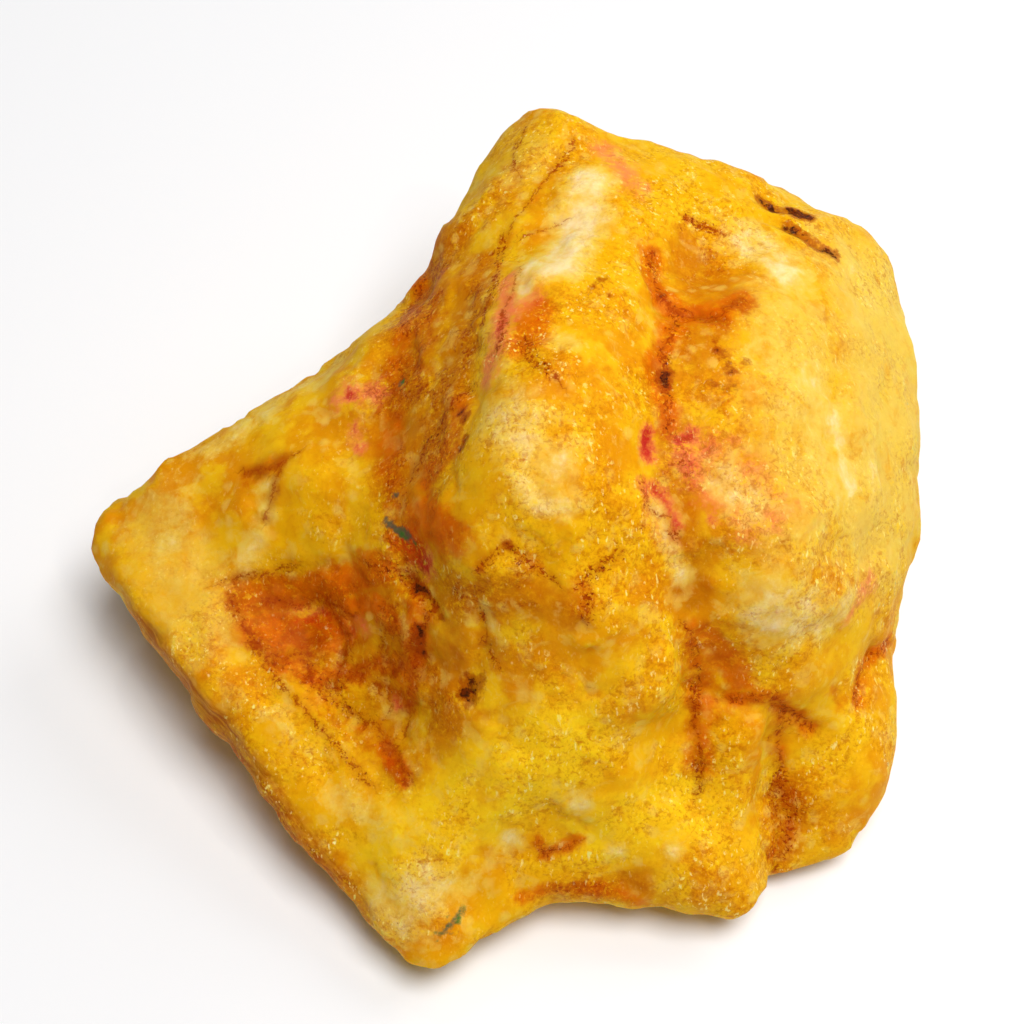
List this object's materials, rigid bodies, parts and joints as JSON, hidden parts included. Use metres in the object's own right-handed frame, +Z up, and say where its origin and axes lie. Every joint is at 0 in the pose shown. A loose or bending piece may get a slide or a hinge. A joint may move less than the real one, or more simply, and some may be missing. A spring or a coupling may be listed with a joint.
{
  "type": "rough yellow sapphire",
  "caption": "A palm-sized broken block of massive golden-yellow stone with rounded lobes, a rust-stained hollow, a pointed left corner and a flat face underneath that it rests on.",
  "frame": {"origin": "on the flat resting face, under the middle of the stone's bounding box", "axes": "+Z up from the resting face, +X towards the rounded right side away from the pointed left corner, -Y to the front where the top slopes down to the ground"},
  "size_m": [0.0682, 0.0662, 0.0355],
  "materials": {
    "sapphire": "sugary broken faces with a waxy shine, milky, with light showing through the thin edges, stained rust, cream and pink"
  },
  "bodies": {
    "root": {"sapphire_rough": "sapphire"}
  },
  "joints": []
}
